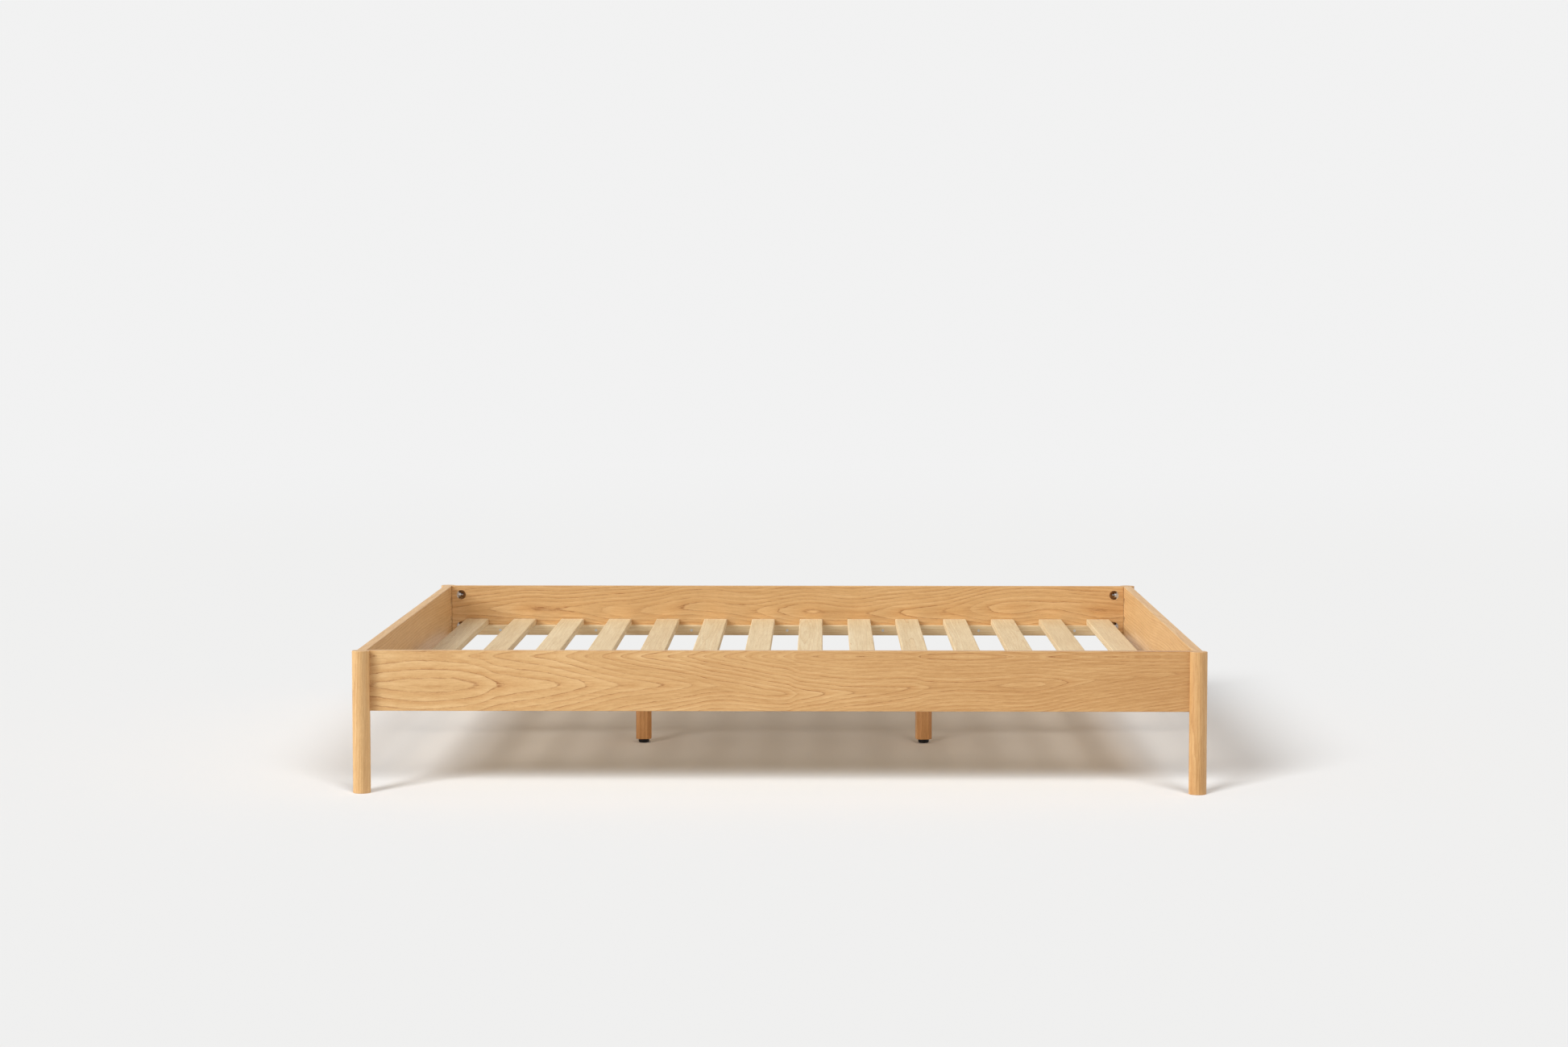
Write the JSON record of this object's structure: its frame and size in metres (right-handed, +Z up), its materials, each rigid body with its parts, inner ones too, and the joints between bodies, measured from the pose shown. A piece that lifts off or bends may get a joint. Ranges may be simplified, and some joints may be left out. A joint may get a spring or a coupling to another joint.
{
  "type": "bed frame",
  "caption": "Low oak bed frame with round corner posts, plank rails, a slatted deck and centre legs on levelling feet; no headboard.",
  "frame": {"origin": "on the floor, under the middle of the bed: the bottom centre of the bounding box", "axes": "+X towards the foot end and -X towards the head end, +Y towards the far side and -Y towards the near side, +Z up"},
  "size_m": [2.12, 1.92, 0.355],
  "materials": {
    "oiled_oak": "light oak, oiled, satin, flat-sawn grain on the rails and straight grain on the posts",
    "planed_pine": "bare planed pine",
    "zinc_steel": "bright zinc-plated steel",
    "brass": "turned brass",
    "black_nylon": "moulded black nylon, satin"
  },
  "bodies": {
    "bed": {"head_near_post": "oiled_oak", "head_far_post": "oiled_oak", "foot_near_post": "oiled_oak", "foot_far_post": "oiled_oak", "head_rail": "oiled_oak", "foot_rail": "oiled_oak", "near_side_rail": "oiled_oak", "far_side_rail": "oiled_oak", "head_centre_leg": "oiled_oak", "foot_centre_leg": "oiled_oak", "near_slat_ledger": "planed_pine", "far_slat_ledger": "planed_pine", "centre_beam": "planed_pine", "slat_01": "planed_pine", "slat_02": "planed_pine", "slat_03": "planed_pine", "slat_04": "planed_pine", "slat_05": "planed_pine", "slat_06": "planed_pine", "slat_07": "planed_pine", "slat_08": "planed_pine", "slat_09": "planed_pine", "slat_10": "planed_pine", "slat_11": "planed_pine", "slat_12": "planed_pine", "slat_13": "planed_pine", "slat_14": "planed_pine", "head_beam_hanger": "zinc_steel", "foot_beam_hanger": "zinc_steel", "corner_hanger_bolts": "zinc_steel", "corner_crescent_washers": "zinc_steel", "corner_nuts": "zinc_steel", "leg_hanger_bolts": "zinc_steel", "slat_screws": "zinc_steel", "ledger_screws": "zinc_steel", "hanger_screws": "zinc_steel", "leg_inserts": "brass", "beam_inserts": "brass"},
    "head_base": {"head_levelling_base": "black_nylon"},
    "head_stud": {"head_levelling_stud": "zinc_steel"},
    "foot_base": {"foot_levelling_base": "black_nylon"},
    "foot_stud": {"foot_levelling_stud": "zinc_steel"}
  },
  "joints": [
    {"name": "head_base_slide", "type": "slide", "parent": "bed", "child": "head_base", "axis": [0, 0, -1], "range_m": [0, 0.012]},
    {"name": "head_stud_turn", "type": "hinge", "parent": "head_base", "child": "head_stud", "pos_m": [-0.388, 0, 0.011], "axis": [0, 0, -1], "range_deg": [0, 3456]},
    {"name": "foot_base_slide", "type": "slide", "parent": "bed", "child": "foot_base", "axis": [0, 0, -1], "range_m": [0, 0.012]},
    {"name": "foot_stud_turn", "type": "hinge", "parent": "foot_base", "child": "foot_stud", "pos_m": [0.388, 0, 0.011], "axis": [0, 0, -1], "range_deg": [0, 3456]}
  ],
  "couplings": [
    {"joint": "head_base_slide", "follows": "head_stud_turn", "m_per_rad": 0.00019894},
    {"joint": "foot_base_slide", "follows": "foot_stud_turn", "m_per_rad": 0.00019894}
  ]
}
